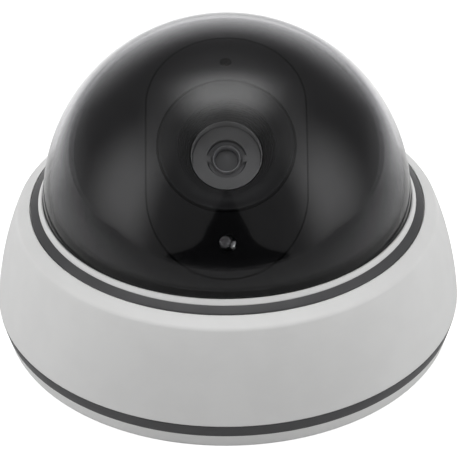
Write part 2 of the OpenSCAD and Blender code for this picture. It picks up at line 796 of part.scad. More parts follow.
module upper_trim_ring() color([0.27, 0.27, 0.28]) rotate_extrude() polygon([
    [trim_groove_in_r, trim_groove_in_z - trim_groove_depth],
    [trim_ring_out_r, trim_groove_out_z - trim_groove_depth + 0.19],
    [trim_ring_out_r, trim_groove_out_z],
    [trim_ring_out_r - 0.15, trim_groove_out_z + 0.25],
    [trim_groove_in_r + 0.15, trim_groove_in_z - 0.1],
    [trim_groove_in_r, trim_groove_in_z - 0.2]]);

module quarter_disc(r) {
    intersection() {
        circle(r = r);
        square([r, r]);
    }
}

module dome_cover() color([0.04, 0.04, 0.05, 0.55]) {
    skirt = dome_z - dome_flange_z;
    translate([0, 0, dome_z]) rotate_extrude() difference() {
        union() {
            quarter_disc(dome_r);
            translate([0, -skirt]) square([dome_r, skirt]);
            translate([0, -skirt]) square([dome_flange_r, dome_flange_t]);
        }
        quarter_disc(dome_r - dome_wall);
        translate([0, -skirt - 1]) square([dome_r - dome_wall, skirt + 1]);
    }
}

module dome_gasket() color([0.15, 0.15, 0.15]) {
    translate([0, 0, dome_flange_top]) tube(dome_flange_r, deck_in_r, dome_gasket_t);
}

module dome_retaining_ring() color([0.16, 0.16, 0.17]) difference() {
    translate([0, 0, clamp_z]) tube(clamp_out_r, clamp_in_r, clamp_t);
    for (a = [0:360 / clamp_screws:359]) rotate([0, 0, a])
        translate([clamp_screw_r, 0, 30]) cylinder(r = 0.85, h = 12);
}

module dome_ring_screws() color([0.70, 0.70, 0.72]) {
    for (a = [0:360 / clamp_screws:359]) rotate([0, 0, a])
        translate([clamp_screw_r, 0, clamp_z]) screw(0.8, 4.6, 1.4, 1.1);
}

base_plate();
base_trim_ring();
cable_grommet();
pan_friction_washer();
pan_retaining_clip();
power_board();
terminal_block();
terminal_screws();
board_header();
power_inductor();
power_capacitors();
regulator_chip();
power_board_screws();
pan_bracket();
tilt_pins();
tilt_friction_washers();
inner_liner();
front_panel();
panel_screws();
module_retainer();
retainer_screws();
status_led();
led_board();
light_sensor();
light_sensor_board();
lens_bezel();
module_frame();
bezel_screws();
lens_holder();
holder_screws();
ir_cut_filter();
image_sensor();
sensor_board();
board_connector();
board_spacers();
main_board();
processor_chip();
heat_sink();
memory_chips();
loom_socket();
board_screws();
focus_ring();
lens_barrel();
focus_pin();
front_lens();
lens_retaining_ring();
lens_spacer();
rear_lens();
housing();
upper_trim_ring();
dome_cover();
dome_gasket();
dome_retaining_ring();
dome_ring_screws();
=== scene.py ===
"""Looks of the dome CCTV camera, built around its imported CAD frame. The lens faces -Y.

The camera, the lamps and the floor are placed in metres. The sizes of shapes and of surface grain
are in millimetres.
"""

import json
import math

import bmesh
import bpy
from mathutils import Matrix, Vector


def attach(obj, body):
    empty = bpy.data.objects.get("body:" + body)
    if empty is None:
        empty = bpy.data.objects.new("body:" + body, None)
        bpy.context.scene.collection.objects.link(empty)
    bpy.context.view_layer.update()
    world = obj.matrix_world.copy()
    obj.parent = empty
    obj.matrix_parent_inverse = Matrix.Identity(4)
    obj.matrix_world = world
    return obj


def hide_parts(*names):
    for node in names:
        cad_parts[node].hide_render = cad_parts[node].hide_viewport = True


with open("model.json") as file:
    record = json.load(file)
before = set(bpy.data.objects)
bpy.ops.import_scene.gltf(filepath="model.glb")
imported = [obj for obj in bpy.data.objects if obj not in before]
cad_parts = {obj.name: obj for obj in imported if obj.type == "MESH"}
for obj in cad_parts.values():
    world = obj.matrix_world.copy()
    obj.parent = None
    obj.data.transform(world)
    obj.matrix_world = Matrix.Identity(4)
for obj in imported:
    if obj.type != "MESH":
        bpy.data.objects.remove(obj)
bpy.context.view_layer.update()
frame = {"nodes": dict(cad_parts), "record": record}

MM = 0.001
BALL_Z = 43.3              # the middle of the ball and of the dome, in millimetres
LENS_ELEVATION = math.radians(50)
TO_DOME = Matrix.Translation((0, 0, BALL_Z * MM))
TO_LENS = TO_DOME @ Matrix.Rotation(math.pi / 2 - LENS_ELEVATION, 4, "X")     # Z is the lens axis


def to_panel(angle):
    """The frame of something on the ball, at an angle in degrees from the lens axis towards the top."""
    return TO_LENS @ Matrix.Rotation(math.radians(-angle), 4, "X")


# ---- node graphs ----

class Graph:
    """Builds the nodes of one material or world."""

    def __init__(self, tree):
        self.tree = tree

    def node(self, kind, **settings):
        made = self.tree.nodes.new(kind)
        for key, value in settings.items():
            setattr(made, key, value)
        return made

    def plug(self, value, socket):
        if isinstance(value, bpy.types.NodeSocket):
            self.tree.links.new(value, socket)
        elif value is not None:
            socket.default_value = value

    def math(self, operation, a, b=None, c=None):
        made = self.node("ShaderNodeMath", operation=operation)
        for value, socket in zip((a, b, c), made.inputs):
            self.plug(value, socket)
        return made.outputs[0]

    def ramp(self, value, low, high, out_low=0.0, out_high=1.0, smooth=True):
        """Takes value from low..high to out_low..out_high, and stays at the ends outside it."""
        made = self.node("ShaderNodeMapRange", clamp=True)
        made.interpolation_type = "SMOOTHSTEP" if smooth else "LINEAR"
        for value, socket in zip((value, low, high, out_low, out_high), made.inputs):
            self.plug(value, socket)
        return made.outputs[0]

    def noise(self, place, scale, detail=2.0, roughness=0.5, distortion=0.0):
        made = self.node("ShaderNodeTexNoise")
        self.plug(place, made.inputs["Vector"])
        made.inputs["Scale"].default_value = scale
        made.inputs["Detail"].default_value = detail
        made.inputs["Roughness"].default_value = roughness
        made.inputs["Distortion"].default_value = distortion
        return made.outputs["Fac"]

    def stretched(self, place, scale):
        made = self.node("ShaderNodeMapping")
        self.plug(place, made.inputs["Vector"])
        made.inputs["Scale"].default_value = scale
        return made.outputs["Vector"]

    def blend(self, factor, a, b):
        """A colour between a and b."""
        made = self.node("ShaderNodeMix", data_type="RGBA")
        self.plug(factor, made.inputs[0])
        for value, socket in ((a, made.inputs[6]), (b, made.inputs[7])):
            self.plug((*value, 1) if isinstance(value, tuple) else value, socket)
        return made.outputs[2]

    def bump(self, height, strength, depth, under=None):
        made = self.node("ShaderNodeBump")
        made.inputs["Strength"].default_value = strength
        made.inputs["Distance"].default_value = depth
        self.plug(height, made.inputs["Height"])
        if under is not None:
            self.plug(under, made.inputs["Normal"])
        return made.outputs["Normal"]


def empty_material(name):
    material = bpy.data.materials.new(name)
    material.use_nodes = True
    material.node_tree.nodes.clear()
    graph = Graph(material.node_tree)
    graph.out = graph.node("ShaderNodeOutputMaterial")
    graph.place = graph.node("ShaderNodeTexCoord").outputs["Object"]
    return material, graph


def lighter(color, amount):
    return tuple(min(1.0, c * (1 + amount)) for c in color)


def solid(name, color, roughness, grain=0.0, grain_size=0.4, depth=0.02, mottle=0.03,
          wear=0.08, streaks=None, edge=0.0, extra=None):
    """A solid finish: a fine surface grain, a faint mottle and a roughness that varies a little.

    grain is the strength of the bump, grain_size and depth are in millimetres, and streaks
    stretches the grain along one axis as brushing or turning does. mottle and wear are the shares
    that the colour and the roughness vary by. edge is the radius, in millimetres, that the moulded
    edges are softened by.
    """
    material, graph = empty_material(name)
    shader = graph.node("ShaderNodeBsdfPrincipled")
    place = graph.place
    cloud = graph.noise(place, 90, detail=3)
    graph.plug(graph.blend(graph.ramp(cloud, 0.35, 0.65), lighter(color, -mottle), lighter(color, mottle)),
               shader.inputs["Base Color"])
    patch = graph.noise(place, 260, detail=4, roughness=0.6)
    graph.plug(graph.ramp(patch, 0.3, 0.7, roughness * (1 - wear), roughness * (1 + wear)),
               shader.inputs["Roughness"])
    normal = None
    if edge:
        soft = graph.node("ShaderNodeBevel", samples=6)
        soft.inputs["Radius"].default_value = edge * MM
        normal = soft.outputs[0]
    if grain:
        fine_place = graph.stretched(place, streaks) if streaks else place
        fine = graph.noise(fine_place, 1 / (grain_size * MM), detail=2, roughness=0.55)
        normal = graph.bump(fine, grain, depth * MM, normal)
    graph.plug(normal, shader.inputs["Normal"])
    for socket, value in (extra or {}).items():
        shader.inputs[socket].default_value = value
    graph.plug(shader.outputs[0], graph.out.inputs["Surface"])
    return material


def circuit_board(name):
    """Green solder mask over copper tracks and pads, with a woven core."""
    material, graph = empty_material(name)
    shader = graph.node("ShaderNodeBsdfPrincipled")
    bricks = graph.node("ShaderNodeTexBrick", offset=0.37, squash=1.6, squash_frequency=3)
    graph.plug(graph.place, bricks.inputs["Vector"])
    for socket, value in (("Scale", 420), ("Mortar Size", 0.12), ("Mortar Smooth", 0.2),
                          ("Brick Width", 1.7), ("Row Height", 0.45)):
        bricks.inputs[socket].default_value = value
    tracks = bricks.outputs["Fac"]
    cells = graph.node("ShaderNodeTexVoronoi", feature="F1")
    graph.plug(graph.place, cells.inputs["Vector"])
    cells.inputs["Scale"].default_value = 330
    pads = graph.ramp(cells.outputs["Distance"], 0.10, 0.14, 1, 0)
    mask = graph.blend(tracks, (0.012, 0.105, 0.045), (0.02, 0.19, 0.08))
    colour = graph.blend(pads, mask, (0.62, 0.60, 0.55))
    graph.plug(colour, shader.inputs["Base Color"])
    graph.plug(pads, shader.inputs["Metallic"])
    graph.plug(graph.ramp(tracks, 0, 1, 0.34, 0.26), shader.inputs["Roughness"])
    height = graph.math("MULTIPLY_ADD", tracks, 0.6, pads)
    graph.plug(graph.bump(height, 0.35, 0.03 * MM), shader.inputs["Normal"])
    graph.plug(shader.outputs[0], graph.out.inputs["Surface"])
    return material


FACE_ON = 0.04             # what plastic or glass reflects of light that meets it squarely


def clear(name, tint, roughness, coat=None, haze=0.0, haze_color=(0.5, 0.5, 0.5), swirl=0.0):
    """A see-through shell: tinted where you look through it, and reflecting by Fresnel's law.

    Each wall has two faces, so tint is what one face lets through, and a slanting look takes more of
    it. coat colours the reflection, and haze is the share of light that its body scatters.
    """
    material, graph = empty_material(name)
    facing = graph.node("ShaderNodeLayerWeight")
    facing.inputs["Blend"].default_value = 0.5
    edge = graph.math("POWER", facing.outputs["Facing"], 5.0)
    mirror_share = graph.math("MULTIPLY_ADD", edge, 1 - FACE_ON, FACE_ON)
    through = graph.node("ShaderNodeBsdfTransparent")
    streak = graph.noise(graph.place, 35, detail=2, distortion=swirl)
    slant = graph.math("DIVIDE", 1.0, graph.math("SUBTRACT", 1.02, facing.outputs["Facing"]))
    parts = graph.node("ShaderNodeCombineColor")
    for channel, share in enumerate(tint):
        base = graph.ramp(streak, 0.3, 0.7, share * 0.99, min(1, share * 1.01))
        graph.plug(graph.math("POWER", base, slant), parts.inputs[channel])
    graph.plug(parts.outputs[0], through.inputs["Color"])
    mirror = graph.node("ShaderNodeBsdfGlossy")
    mirror.inputs["Color"].default_value = (*(coat or (1.0, 1.0, 1.0)), 1)
    polish = graph.noise(graph.place, 150, detail=3)
    graph.plug(graph.ramp(polish, 0.3, 0.7, roughness * 0.7, roughness * 1.3), mirror.inputs["Roughness"])
    body = through.outputs[0]
    if haze:
        cloudy = graph.node("ShaderNodeBsdfDiffuse")
        cloudy.inputs["Color"].default_value = (*haze_color, 1)
        hazed = graph.node("ShaderNodeMixShader")
        hazed.inputs["Fac"].default_value = haze
        graph.plug(body, hazed.inputs[1])
        graph.plug(cloudy.outputs[0], hazed.inputs[2])
        body = hazed.outputs[0]
    mixed = graph.node("ShaderNodeMixShader")
    graph.plug(mirror_share, mixed.inputs["Fac"])
    graph.plug(body, mixed.inputs[1])
    graph.plug(mirror.outputs[0], mixed.inputs[2])
    graph.plug(mixed.outputs[0], graph.out.inputs["Surface"])
    return material


def clear_epoxy(name):
    """Water-clear moulding: a lens that bends the light, with faint swirls in it."""
    material, graph = empty_material(name)
    shader = graph.node("ShaderNodeBsdfPrincipled")
    shader.inputs["Transmission Weight"].default_value = 1.0
    shader.inputs["IOR"].default_value = 1.52
    swirls = graph.noise(graph.place, 400, detail=2, distortion=1.0)
    graph.plug(graph.blend(swirls, (0.93, 0.93, 0.94), (1.0, 1.0, 1.0)), shader.inputs["Base Color"])
    graph.plug(graph.ramp(swirls, 0.3, 0.7, 0.015, 0.04), shader.inputs["Roughness"])
    graph.plug(graph.bump(swirls, 0.05, 0.02 * MM), shader.inputs["Normal"])
    graph.plug(shader.outputs[0], graph.out.inputs["Surface"])
    return material


def photocell(name):
    """Clear lacquer over a buff ceramic disc with a dark serpentine track."""
    material, graph = empty_material(name)
    shader = graph.node("ShaderNodeBsdfPrincipled")
    waves = graph.node("ShaderNodeTexWave", wave_type="BANDS", bands_direction="X")
    graph.plug(graph.place, waves.inputs["Vector"])
    waves.inputs["Scale"].default_value = 420
    waves.inputs["Distortion"].default_value = 1.5
    track = graph.ramp(waves.outputs["Fac"], 0.45, 0.55)
    graph.plug(graph.blend(track, (0.035, 0.03, 0.025), (0.11, 0.09, 0.07)), shader.inputs["Base Color"])
    graph.plug(graph.ramp(track, 0, 1, 0.25, 0.4), shader.inputs["Roughness"])
    shader.inputs["Coat Weight"].default_value = 0.6
    graph.plug(shader.outputs[0], graph.out.inputs["Surface"])
    return material


def silicon(name):
    """A sensor's silicon: fine dark rows with a faint colour play, under a window."""
    material, graph = empty_material(name)
    shader = graph.node("ShaderNodeBsdfPrincipled")
    rows = graph.node("ShaderNodeTexWave", wave_type="BANDS", bands_direction="X")
    graph.plug(graph.place, rows.inputs["Vector"])
    rows.inputs["Scale"].default_value = 900
    tone = graph.noise(graph.place, 120, detail=1)
    graph.plug(graph.blend(tone, (0.03, 0.03, 0.06), (0.07, 0.045, 0.06)), shader.inputs["Base Color"])
    graph.plug(graph.ramp(rows.outputs["Fac"], 0.3, 0.7, 0.14, 0.22), shader.inputs["Roughness"])
    graph.plug(graph.bump(rows.outputs["Fac"], 0.1, 0.01 * MM), shader.inputs["Normal"])
    shader.inputs["Coat Weight"].default_value = 0.8
    graph.plug(shader.outputs[0], graph.out.inputs["Surface"])
    return material


METAL = {"Metallic": 1.0}

FINISHES = {
    "white_housing": lambda n: solid(n, (0.80, 0.80, 0.795), 0.42, grain=0.15, grain_size=0.35, depth=0.02,
                                     mottle=0.012, edge=0.5, extra={"Specular IOR Level": 0.45}),
    "white_base": lambda n: solid(n, (0.86, 0.86, 0.855), 0.45, grain=0.15, grain_size=0.35, depth=0.02,
                                  mottle=0.012, edge=0.5, extra={"Specular IOR Level": 0.4}),
    "grey_trim": lambda n: solid(n, (0.075, 0.075, 0.078), 0.38, grain=0.08, grain_size=0.3, depth=0.01,
                                 mottle=0.06, edge=0.15),
    "smoked_dome": lambda n: clear(n, (0.86, 0.86, 0.865), 0.02, swirl=0.4),
    "black_liner": lambda n: solid(n, (0.010, 0.010, 0.011), 0.2, mottle=0.10,
                                   extra={"Specular IOR Level": 0.85}),
    "black_panel": lambda n: solid(n, (0.010, 0.010, 0.011), 0.15, mottle=0.08,
                                   extra={"Specular IOR Level": 1.0}),
    "black_bezel": lambda n: solid(n, (0.018, 0.018, 0.019), 0.35, mottle=0.08,
                                   extra={"Specular IOR Level": 0.22}),
    "dark_plastic": lambda n: solid(n, (0.035, 0.035, 0.038), 0.5, grain=0.3, grain_size=0.2, depth=0.03,
                                    mottle=0.12),
    "grey_lens_face": lambda n: solid(n, (0.33, 0.33, 0.33), 0.45, grain=0.18, grain_size=0.15, depth=0.01,
                                      mottle=0.03),
    "grey_anodised": lambda n: solid(n, (0.27, 0.27, 0.275), 0.45, grain=0.1, grain_size=0.1, depth=0.01,
                                     mottle=0.06, streaks=(1, 1, 12), extra={"Metallic": 0.3}),
    "bright_ring": lambda n: solid(n, (0.93, 0.93, 0.94), 0.38, grain=0.1, grain_size=0.1, depth=0.005,
                                   mottle=0.03, extra=METAL),
    "bracket_steel": lambda n: solid(n, (0.05, 0.05, 0.054), 0.46, grain=0.45, grain_size=0.3, depth=0.03,
                                     mottle=0.1),
    "steel_fasteners": lambda n: solid(n, (0.60, 0.61, 0.63), 0.3, grain=0.25, grain_size=0.08, depth=0.01,
                                       mottle=0.08, wear=0.3, extra=METAL),
    "brass_spacers": lambda n: solid(n, (0.70, 0.52, 0.24), 0.3, grain=0.3, grain_size=0.1, depth=0.01,
                                     mottle=0.08, wear=0.3, streaks=(1, 1, 9), extra=METAL),
    "nylon_washers": lambda n: solid(n, (0.74, 0.71, 0.62), 0.5, grain=0.2, grain_size=0.3, depth=0.02,
                                     mottle=0.04,
                                     extra={"Subsurface Weight": 0.1, "Subsurface Scale": 2 * MM}),
    "circuit_board": circuit_board,
    "chip_package": lambda n: solid(n, (0.022, 0.022, 0.024), 0.55, grain=0.4, grain_size=0.08, depth=0.01,
                                    mottle=0.12),
    "ivory_connector": lambda n: solid(n, (0.76, 0.73, 0.62), 0.45, grain=0.15, grain_size=0.2, depth=0.02,
                                       mottle=0.04),
    "terminal_green": lambda n: solid(n, (0.03, 0.27, 0.11), 0.4, grain=0.15, grain_size=0.2, depth=0.02,
                                      mottle=0.06),
    "capacitor_can": lambda n: solid(n, (0.05, 0.06, 0.14), 0.3, grain=0.12, grain_size=0.3, depth=0.02,
                                     mottle=0.08, extra={"Coat Weight": 0.3}),
    "heat_sink_metal": lambda n: solid(n, (0.60, 0.61, 0.63), 0.4, grain=0.35, grain_size=0.1, depth=0.01,
                                       mottle=0.06, streaks=(1, 9, 1), extra=METAL),
    "rubber": lambda n: solid(n, (0.022, 0.022, 0.022), 0.75, grain=0.3, grain_size=0.15, depth=0.02,
                              mottle=0.15, extra={"Sheen Weight": 0.1}),
    "lens_glass": lambda n: clear(n, (0.72, 0.74, 0.76), 0.06, coat=(0.85, 0.9, 1.0), haze=0.5,
                                  haze_color=(0.55, 0.55, 0.55)),
    "filter_glass": lambda n: clear(n, (0.62, 0.50, 0.53), 0.04, coat=(1.0, 0.6, 0.6), haze=0.1,
                                    haze_color=(0.3, 0.2, 0.22)),
    "sensor_die": silicon,
    "led_clear": clear_epoxy,
    "photocell": photocell,
}
materials = {}


def finish(slot):
    if slot not in materials:
        materials[slot] = FINISHES[slot](slot)
    return materials[slot]


# ---- camera, floor and light ----

VIEW_DISTANCE = 0.8        # from the middle of the object
VIEW_ELEVATION = math.radians(33.12)
VIEW_ROLL = math.radians(-0.6)
MIDDLE = Vector((0, 0, 0.040))
AIM = Vector((0.0005, 0, 0.0309))
FOCAL_LENGTH, SENSOR = 202.4, 36     # millimetres


def make_camera():
    """A long lens in front of the object and above it, very slightly off level."""
    data = bpy.data.cameras.new("camera")
    data.lens = FOCAL_LENGTH
    data.sensor_width = SENSOR
    camera = bpy.data.objects.new("camera", data)
    bpy.context.scene.collection.objects.link(camera)
    back = Vector((0, -math.cos(VIEW_ELEVATION), math.sin(VIEW_ELEVATION)))
    camera.location = MIDDLE + VIEW_DISTANCE * back
    facing = (AIM - camera.location).to_track_quat("-Z", "Y").to_matrix()
    camera.rotation_euler = (facing @ Matrix.Rotation(VIEW_ROLL, 3, "Z")).to_euler()
    bpy.context.scene.camera = camera


def make_fill(name, position, size, watts):
    """A large soft lamp that fills the shadows and isn't seen as a reflection."""
    data = bpy.data.lights.new(name, "AREA")
    data.shape = "RECTANGLE"
    data.size, data.size_y = size
    data.energy = watts
    lamp = bpy.data.objects.new(name, data)
    bpy.context.scene.collection.objects.link(lamp)
    lamp.location = position
    lamp.rotation_euler = (MIDDLE - Vector(position)).to_track_quat("-Z", "Y").to_euler()
    lamp.visible_glossy = False


SHEET_FRONT = 0.27         # how far the paper reaches in front of the object
SHEET_HALF = 0.6           # half of its side
SHEET_GLOW = 0.86          # what brings its paper to white for the camera


def make_floor():
    """White paper, over-lit to the eye as in a cut-out product picture.

    What the object mirrors of it is painted: the paper's colour is darker towards the front and the sides
    (painted shade), and a painted glow lights it at the back.
    """
    mesh = bpy.data.meshes.new("floor")
    shape = bmesh.new()
    bmesh.ops.create_grid(shape, x_segments=8, y_segments=8, size=SHEET_HALF)
    bmesh.ops.translate(shape, verts=shape.verts, vec=(0, SHEET_HALF - SHEET_FRONT, 0))
    shape.to_mesh(mesh)
    shape.free()
    floor = bpy.data.objects.new("floor", mesh)
    bpy.context.scene.collection.objects.link(floor)
    material, graph = empty_material("floor_paper")
    axes = graph.node("ShaderNodeSeparateXYZ")
    graph.plug(graph.place, axes.inputs[0])
    aside = graph.math("ABSOLUTE", axes.outputs["X"])
    back = axes.outputs["Y"]
    # Painted shade: the paper's colour darkens towards the front and the sides
    tone = graph.math("MULTIPLY", graph.ramp(back, -0.20, 0.10), graph.ramp(aside, 0.08, 0.45, 1, 0.35))
    diffuse = graph.node("ShaderNodeBsdfDiffuse")
    graph.plug(graph.blend(tone, (0.22, 0.22, 0.22), (0.90, 0.90, 0.90)), diffuse.inputs["Color"])
    # Painted glow: the back part of the paper glows for every ray but the camera's, as painted light
    painted_back_glow = graph.node("ShaderNodeEmission")
    painted_glow_share = graph.math("MULTIPLY", graph.ramp(back, 0.05, 0.2, 0, 0.7),
                           graph.ramp(back, 0.25, 0.5, 1, 0.4))
    painted_glow_share = graph.math("MULTIPLY", painted_glow_share, graph.ramp(aside, 0.12, 0.4, 1, 0.3))
    graph.plug(painted_glow_share, painted_back_glow.inputs["Strength"])
    paper = graph.node("ShaderNodeAddShader")
    graph.plug(diffuse.outputs[0], paper.inputs[0])
    graph.plug(painted_back_glow.outputs[0], paper.inputs[1])
    glow = graph.node("ShaderNodeEmission")
    glow.inputs["Strength"].default_value = SHEET_GLOW
    seen = graph.node("ShaderNodeAddShader")
    graph.plug(diffuse.outputs[0], seen.inputs[0])
    graph.plug(glow.outputs[0], seen.inputs[1])
    choice = graph.node("ShaderNodeMixShader")
    graph.plug(graph.node("ShaderNodeLightPath").outputs["Is Camera Ray"], choice.inputs["Fac"])
    graph.plug(paper.outputs[0], choice.inputs[1])
    graph.plug(seen.outputs[0], choice.inputs[2])
    graph.plug(choice.outputs[0], graph.out.inputs["Surface"])
    mesh.materials.append(material)


# How bright the tent's lights, its cloth and its opening are
OVERHEAD, ZENITH, OVERHEAD_SPREAD, SIDE_LIGHT, BACK_WALL = 1.95, 0.5, 0.2, 0.78, 1.1
SKYLINE = 0.16
TENT_IN_FRONT, TENT_BEHIND, TENT_LEAST = 0.11, 0.19, 0.14
OPENING_SHADE = 0.06
OPENING_HALF_WIDTH, OPENING_FLARE = 12.5, 24     # degrees: its half width, and what its foot adds


def make_studio():
    """A white tent round the object, open in front: a soft light overhead and one on each side.

    turn is the angle in degrees away from the front, to either side, and rise is the angle above
    the horizon.
    """
    world = bpy.data.worlds.new("studio")
    bpy.context.scene.world = world
    world.use_nodes = True
    world.node_tree.nodes.clear()
    g = Graph(world.node_tree)
    axes = g.node("ShaderNodeSeparateXYZ")
    g.plug(g.node("ShaderNodeTexCoord").outputs["Generated"], axes.inputs[0])
    x, y, z = axes.outputs
    azimuth = g.math("ARCTAN2", x, g.math("MULTIPLY", y, -1.0))
    turn = g.math("MULTIPLY", g.math("ABSOLUTE", azimuth), 180 / math.pi)
    rise = g.math("MULTIPLY", g.math("ARCSINE", z), 180 / math.pi)

    across = g.math("MULTIPLY", g.ramp(g.math("ABSOLUTE", x), 0.12, 0.56, 1, 0), g.ramp(z, 0.2, 0.5))
    along = g.math("MULTIPLY", g.ramp(y, -0.14, 0.16), g.ramp(y, 0.20, 0.55, 1, 0))
    top = g.math("MULTIPLY", g.math("MULTIPLY", across, along), OVERHEAD)
    top = g.math("ADD", top, g.ramp(z, 0.88, 1.0, 0, ZENITH))
    spread = g.math("MULTIPLY", g.ramp(z, 0.6, 0.9, 0, OVERHEAD_SPREAD), g.ramp(turn, 40, 100))
    top = g.math("ADD", top, spread)
    side = g.math("MULTIPLY", g.ramp(turn, 42, 68), g.ramp(turn, 74, 112, 1, 0))
    side_height = g.math("MULTIPLY", g.ramp(rise, -30, 12), g.ramp(rise, 20, 62, 1, 0))
    side = g.math("MULTIPLY", side, side_height)
    wall = g.math("MULTIPLY", g.ramp(turn, 128, 172), g.ramp(rise, 2, 30, 1, 0))
    light = g.math("ADD", top, g.math("MULTIPLY", side, SIDE_LIGHT))
    light = g.math("ADD", light, g.math("MULTIPLY", wall, BACK_WALL))
    light = g.math("ADD", light, g.ramp(turn, 10, 60, TENT_IN_FRONT, TENT_BEHIND))
    skyline = g.math("MULTIPLY", g.ramp(rise, 14, 0), g.ramp(turn, 55, 90, 0, SKYLINE))
    light = g.math("MAXIMUM", light, g.math("ADD", skyline, TENT_LEAST))

    flare = g.math("POWER", g.ramp(rise, 24, -8, 0, 1, smooth=False), 4.0)
    column = g.ramp(rise, 41, 12, 0, OPENING_HALF_WIDTH, smooth=False)
    half_width = g.math("MULTIPLY_ADD", flare, OPENING_FLARE, column)
    inside = g.math("SUBTRACT", half_width, turn)
    opening = g.math("MULTIPLY", g.ramp(inside, -1.5, 1.5), g.ramp(rise, 36, 40, 1, 0))
    light = g.math("MULTIPLY", light, g.ramp(opening, 0, 1, 1, OPENING_SHADE))

    tent = g.node("ShaderNodeBackground")
    g.plug(light, tent.inputs["Strength"])
    backdrop = g.node("ShaderNodeBackground")
    backdrop.inputs["Color"].default_value = (1, 1, 1, 1)
    choice = g.node("ShaderNodeMixShader")
    g.plug(g.node("ShaderNodeLightPath").outputs["Is Camera Ray"], choice.inputs["Fac"])
    g.plug(tent.outputs[0], choice.inputs[1])
    g.plug(backdrop.outputs[0], choice.inputs[2])
    g.plug(choice.outputs[0], g.node("ShaderNodeOutputWorld").inputs["Surface"])


make_camera()
make_floor()
make_studio()
make_fill("fill_above", (0, 0.05, 1.1), (0.9, 0.9), 2.5)
for name, x in (("fill_left", -0.9), ("fill_right", 0.9)):
    make_fill(name, (x, -0.45, 0.4), (0.6, 0.6), 4.2)
view_settings = bpy.context.scene.view_settings
view_settings.view_transform = "Standard"
view_settings.look = "None"


# ---- shapes ----

def arc(center, radius, start, end, steps):
    """Points on a circle in a half section, angles in degrees from the r axis."""
    points = []
    for i in range(steps + 1):
        angle = math.radians(start + (end - start) * i / steps)
        points.append((center[0] + radius * math.cos(angle), center[1] + radius * math.sin(angle)))
    return points


def filleted(corners, steps=4):
    """A closed half section whose corners (r, z, fillet radius) are rounded."""
    points = []
    for i, (r, z, fillet) in enumerate(corners):
        here = Vector((r, z))
        before = Vector(corners[i - 1][:2]) - here
        after = Vector(corners[(i + 1) % len(corners)][:2]) - here
        if fillet <= 0:
            points.append((r, z))
            continue
        u, v = before.normalized(), after.normalized()
        half = math.acos(max(-1, min(1, u.dot(v)))) / 2
        reach = min(fillet / math.tan(half), 0.45 * before.length, 0.45 * after.length)
        radius = reach * math.tan(half)
        middle = here + (u + v).normalized() * radius / math.sin(half)
        first, last = here + u * reach - middle, here + v * reach - middle
        sweep = first.angle_signed(last)
        for k in range(steps + 1):
            point = middle + Matrix.Rotation(-sweep * k / steps, 2) @ first
            points.append((point.x, point.y))
    return points


def lathe(section, segments=192):
    """A solid of revolution about local Z from a closed half section, in millimetres."""
    shape = bmesh.new()
    rings = []
    for r, z in section:
        if abs(r) < 1e-6:
            rings.append([shape.verts.new((0, 0, z * MM))])
            continue
        ring = []
        for k in range(segments):
            angle = 2 * math.pi * k / segments
            ring.append(shape.verts.new((r * MM * math.cos(angle), r * MM * math.sin(angle), z * MM)))
        rings.append(ring)
    for i, low in enumerate(rings):
        high = rings[(i + 1) % len(rings)]
        if len(low) == 1 and len(high) == 1:
            continue
        for k in range(segments):
            n = (k + 1) % segments
            if len(low) == 1:
                corners = (low[0], high[n], high[k])
            elif len(high) == 1:
                corners = (low[k], low[n], high[0])
            else:
                corners = (low[k], low[n], high[n], high[k])
            shape.faces.new(corners)
    bmesh.ops.recalc_face_normals(shape, faces=shape.faces)
    return shape


def box(size, middle, bevel=0.08):
    """A block with bevelled edges, in millimetres."""
    shape = bmesh.new()
    bmesh.ops.create_cube(shape, size=MM, matrix=Matrix.Translation([c * MM for c in middle])
                          @ Matrix.Diagonal((*size, 1)))
    bmesh.ops.bevel(shape, geom=shape.edges[:], offset=bevel * MM, segments=2, affect="EDGES")
    return shape


def add_piece(name, shape, matrix, body, slot_name, stands_for=None, sharp=35):
    """Makes the object from a bmesh: its finish, its body and the CAD node it stands for.

    sharp is the angle in degrees from which an edge is drawn hard.
    """
    mesh = bpy.data.meshes.new(name)
    shape.transform(matrix)
    shape.to_mesh(mesh)
    shape.free()
    mesh.shade_smooth()
    mesh.set_sharp_from_angle(angle=math.radians(sharp))
    made = bpy.data.objects.new(name, mesh)
    bpy.context.scene.collection.objects.link(made)
    mesh.materials.append(finish(slot_name))
    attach(made, body)
    if stands_for:
        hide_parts(stands_for)


def join(*shapes):
    """One bmesh that holds all of these closed shells."""
    whole = bmesh.new()
    for shape in shapes:
        mesh = bpy.data.meshes.new("part")
        shape.to_mesh(mesh)
        shape.free()
        whole.from_mesh(mesh)
        bpy.data.meshes.remove(mesh)
    return whole


# Finishes of the CAD nodes
slots = {part["node"]: part["material_slot"] for part in frame["record"]["subparts"]}
for name, node in frame["nodes"].items():
    node.data.materials.clear()
    node.data.materials.append(finish(slots[name]))

# Smoked dome: a hemisphere on a short skirt with a flange. Heights are measured from its middle.
DOME_OUT, DOME_IN = 56.9, 55.1
DOME_FLANGE_R, DOME_FLANGE_THICK = 59.3, 1.8
SKIRT = 36.3 - BALL_Z      # the underside of the flange
flange_top = SKIRT + DOME_FLANGE_THICK
dome = [(0, DOME_OUT), *arc((0, 0), DOME_OUT, 89, 0, 64)]
dome += [(DOME_OUT, flange_top + 0.6), (DOME_OUT + 0.2, flange_top + 0.15), (DOME_OUT + 0.6, flange_top)]
dome += [(DOME_FLANGE_R, flange_top), (DOME_FLANGE_R, SKIRT), (DOME_IN, SKIRT)]
dome += [*arc((0, 0), DOME_IN, 0, 89, 64), (0, DOME_IN)]
add_piece("smoked_dome_shell", lathe(dome, 256), TO_DOME, "cover", "smoked_dome", "dome_cover")

